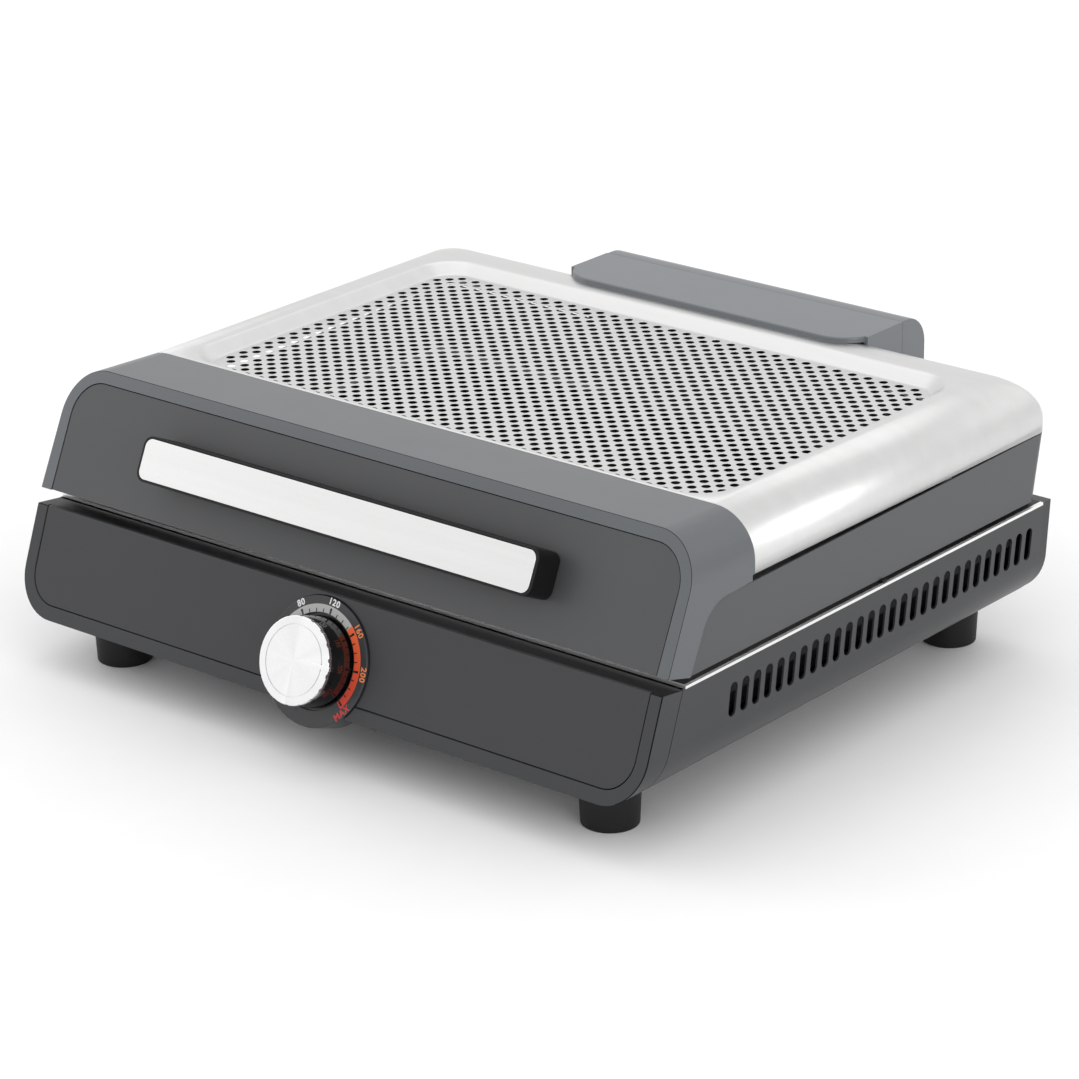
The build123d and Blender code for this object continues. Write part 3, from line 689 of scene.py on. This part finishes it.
dialShape = {
    "bandInner": 0.0280, "bandOuter": 0.0325, "bandStart": -52.0, "bandEnd": 131.0, "warmFrom": 38.5,
    "grey": (0.42, 0.42, 0.41), "orange": (0.78, 0.13, 0.035), "red": (0.52, 0.035, 0.022),
    "faceColour": (0.028, 0.029, 0.031), "faceRoughness": 0.34,
    "height": 0.0015, "tickIn": 0.0281, "tickOut": 0.0301, "boldOut": 0.0308,
    # printed marks are thin slabs whose middle lies this far above the face
    "printLift": 0.00003, "printThick": 0.00006,
    "firstTick": -34.4, "tickStep": 10.15, "tickCount": 17, "boldEvery": 4,
    "tickWide": 0.0006, "boldWide": 0.0012, "dotRadius": 0.00078,
    "labelRadius": 0.0350, "labelSize": 0.0052,
    "offAngle": 193.0, "offRadius": 0.0300, "offSize": 0.0011, "offLine": 0.0004,
}


def dialFaceFinish():
    look = dialShape
    material, tree, shader, place = newMaterial("dialFace", look["faceRoughness"])
    polar = groupNode(tree, polarGroup, toDial(tree, place))
    radius, angle = polar.outputs["Radius"], polar.outputs["Angle"]
    mask = mathNode(tree, "GREATER_THAN", radius, look["bandInner"])
    for operation, value, limit in (
        ("LESS_THAN", radius, look["bandOuter"]),
        ("GREATER_THAN", angle, math.radians(look["bandStart"])),
        ("LESS_THAN", angle, math.radians(look["bandEnd"])),
    ):
        mask = mathNode(tree, "MULTIPLY", mask, mathNode(tree, operation, value, limit))
    ramp = tree.nodes.new("ShaderNodeValToRGB")
    turn = tree.nodes.new("ShaderNodeMapRange")
    turn.inputs["From Min"].default_value = math.radians(look["bandStart"])
    turn.inputs["From Max"].default_value = math.radians(look["bandEnd"])
    tree.links.new(angle, turn.inputs["Value"])
    tree.links.new(turn.outputs[0], ramp.inputs["Fac"])
    change = (look["warmFrom"] - look["bandStart"]) / (look["bandEnd"] - look["bandStart"])
    stops = ramp.color_ramp.elements
    stops[0].position = change - 0.004
    stops[0].color = (*look["grey"], 1)
    stops[1].position = 1.0
    stops[1].color = (*look["red"], 1)
    warm = stops.new(change + 0.004)
    warm.color = (*look["orange"], 1)
    grain = groupNode(tree, grainGroup, place, Fineness=900.0)
    face = mixColour(
        tree, spread(tree, grain.outputs["Mottle"], 0.0, 1.0),
        shade(look["faceColour"], 0.95), shade(look["faceColour"], 1.05),
    )
    tree.links.new(mixColour(tree, mask, face, ramp.outputs["Color"]), shader.inputs["Base Color"])
    bump(tree, shader, grain.outputs["Tooth"], 0.00001)
    return material


materials["dialFace"] = dialFaceFinish()
softPieces["dial_disc"].data.materials[0] = materials["dialFace"]

printLooks = {
    "printWhite": {"colour": (0.75, 0.75, 0.74), "roughness": 0.45, "vary": 0.03},
    "printOrange": {"colour": (0.72, 0.20, 0.06), "roughness": 0.45, "vary": 0.04},
    "printRed": {"colour": (0.55, 0.035, 0.03), "roughness": 0.45, "vary": 0.04},
    "printBlack": {"colour": (0.008, 0.008, 0.008), "roughness": 0.4, "vary": 0.1},
}
materials.update({name: grainFinish(name, look) for name, look in printLooks.items()})


def dialSpot(degrees, radius, height):
    # a frame on the dial at a clockwise angle, its y pointing outwards
    turn = Matrix.Rotation(-math.radians(degrees), 4, "Z")
    return dialMatrix @ turn @ Matrix.Translation((0, radius, height))


def buildTicks():
    bm = bmesh.new()
    look = dialShape
    lift = look["height"] + look["printLift"]
    for number in range(look["tickCount"]):
        degrees = look["firstTick"] + number * look["tickStep"]
        bold = number % look["boldEvery"] == 0
        outer = look["boldOut"] if bold else look["tickOut"]
        length = outer - look["tickIn"]
        wide = look["boldWide"] if bold else look["tickWide"]
        spot = dialSpot(degrees, look["tickIn"] + length / 2, lift)
        stretch = Matrix.Diagonal((wide, length, look["printThick"], 1))
        bmesh.ops.create_cube(bm, size=1.0, matrix=spot @ stretch)
        if bold:
            bmesh.ops.create_cone(
                bm, cap_ends=True, segments=16, radius1=look["dotRadius"], radius2=look["dotRadius"],
                depth=look["printThick"], matrix=dialSpot(degrees, outer, lift),
            )
    return bm


finishPiece(buildTicks(), "dialTicks", "base", materials["printBlack"])


def addLabel(name, text, degrees, radius, size, material, turned):
    curve = bpy.data.curves.new(name, "FONT")
    curve.body = text
    curve.size = size
    curve.align_x = "CENTER"
    curve.align_y = "CENTER"
    curve.extrude = dialShape["printThick"] / 2
    curve.offset = size * 0.028
    curve.space_character = 1.12
    curve.resolution_u = 4
    draft = bpy.data.objects.new(name + "Draft", curve)
    bpy.context.scene.collection.objects.link(draft)
    bpy.context.view_layer.update()
    flat = bpy.data.meshes.new_from_object(draft)
    bpy.data.objects.remove(draft)
    bm = bmesh.new()
    bm.from_mesh(flat)
    bpy.data.meshes.remove(flat)
    bmesh.ops.remove_doubles(bm, verts=bm.verts, dist=1e-6)
    spot = dialSpot(degrees, radius, dialShape["height"] + dialShape["printLift"])
    place = spot @ Matrix.Rotation(math.radians(turned), 4, "Z")
    bmesh.ops.transform(bm, matrix=place, verts=bm.verts)
    return finishPiece(bm, name, "base", material)


labels = [
    # name, text, clockwise angle, finish, turn about its own middle
    ("label80", "80", -33.0, "printWhite", 0.0), ("label120", "120", 7.5, "printWhite", 0.0),
    ("label160", "160", 47.5, "printOrange", 0.0), ("label200", "200", 88.5, "printOrange", 0.0),
    ("labelMax", "MAX", 132.0, "printRed", 180.0),
]
for name, text, degrees, finish, turned in labels:
    addLabel(name, text, degrees, dialShape["labelRadius"], dialShape["labelSize"], materials[finish], turned)


def buildOffMark():
    # a small printed ring where the pointer rests when the heat is off
    bm = bmesh.new()
    look = dialShape
    spot = dialSpot(look["offAngle"], look["offRadius"], look["height"] + look["printLift"])
    bmesh.ops.create_circle(bm, cap_ends=True, segments=24, radius=look["offSize"], matrix=spot)
    bmesh.ops.inset_individual(bm, faces=bm.faces[:], thickness=look["offLine"])
    inner = min(bm.faces, key=lambda face: max((vert.co - spot.translation).length for vert in face.verts))
    bmesh.ops.delete(bm, geom=[inner], context="FACES_ONLY")
    return bm


finishPiece(buildOffMark(), "dialOffMark", "base", materials["printBlack"])
print("dial marked")


# floor, light and camera

studio = {
    "floorColour": (0.94, 0.94, 0.94), "worldColour": (1.0, 1.0, 1.0), "worldStrength": 1.0,
    "lights": [
        # name, place, size, power, aimed at
        ("softTop", (-0.5, 0.3, 1.9), (2.2, 1.6), 5.0, (0, 0, 0.1)),
        ("softRear", (0.7, 1.9, 1.2), (2.2, 1.0), 1.5, (0, 0, 0.1)),
        ("softLeft", (-1.9, -0.9, 1.0), (1.4, 1.4), 4.0, (0, 0, 0.1)),
        ("softRight", (2.2, -0.9, 0.8), (1.2, 0.7), 9.0, (0.2, 0, 0.1)),
    ],
}


def floorFinish():
    material, tree, shader, place = newMaterial("paleFloor", 0.7)
    grain = groupNode(tree, grainGroup, place, Fineness=200.0)
    colour = studio["floorColour"]
    mottle = spread(tree, grain.outputs["Mottle"], 0.0, 1.0)
    mixed = mixColour(tree, mottle, shade(colour, 0.99), shade(colour, 1.01))
    tree.links.new(mixed, shader.inputs["Base Color"])
    return material


floorMesh = bmesh.new()
bmesh.ops.create_grid(floorMesh, x_segments=1, y_segments=1, size=6.0)
floorData = bpy.data.meshes.new("studioFloor")
floorMesh.to_mesh(floorData)
floorMesh.free()
floor = bpy.data.objects.new("studioFloor", floorData)
floorData.materials.append(floorFinish())
bpy.context.scene.collection.objects.link(floor)

world = bpy.context.scene.world or bpy.data.worlds.new("studio")
bpy.context.scene.world = world
world.use_nodes = True
backdrop = world.node_tree.nodes["Background"]
backdrop.inputs["Color"].default_value = (*studio["worldColour"], 1)
backdrop.inputs["Strength"].default_value = studio["worldStrength"]

for name, place, size, power, target in studio["lights"]:
    data = bpy.data.lights.new(name, "AREA")
    data.shape = "RECTANGLE"
    data.size, data.size_y = size
    data.energy = power
    lamp = bpy.data.objects.new(name, data)
    lamp.location = place
    lamp.rotation_euler = (Vector(target) - Vector(place)).to_track_quat("-Z", "Y").to_euler()
    bpy.context.scene.collection.objects.link(lamp)

view = {
    "azimuth": 39.71, "elevation": 21.43, "roll": -0.72, "lens": 138.84, "sensor": 36.0,
    "shift": (-0.00355, -0.00046), "place": (1.46827, -1.76856, 0.96989),
}
azimuth, elevation, roll = (math.radians(view[key]) for key in ("azimuth", "elevation", "roll"))
ahead = Vector((
    -math.sin(azimuth) * math.cos(elevation), math.cos(azimuth) * math.cos(elevation), -math.sin(elevation)
))
level = Vector((math.cos(azimuth), math.sin(azimuth), 0))
upright = level.cross(ahead)
right = math.cos(roll) * level + math.sin(roll) * upright
up = -math.sin(roll) * level + math.cos(roll) * upright
cameraData = bpy.data.cameras.new("productView")
cameraData.lens = view["lens"]
cameraData.sensor_width = view["sensor"]
cameraData.shift_x, cameraData.shift_y = view["shift"]
camera = bpy.data.objects.new("productView", cameraData)
turned = Matrix((right, up, -ahead)).transposed().to_4x4()
camera.matrix_world = Matrix.Translation(view["place"]) @ turned
bpy.context.scene.collection.objects.link(camera)
bpy.context.scene.camera = camera
bpy.context.scene.view_settings.view_transform = "Standard"
print("studio lit")
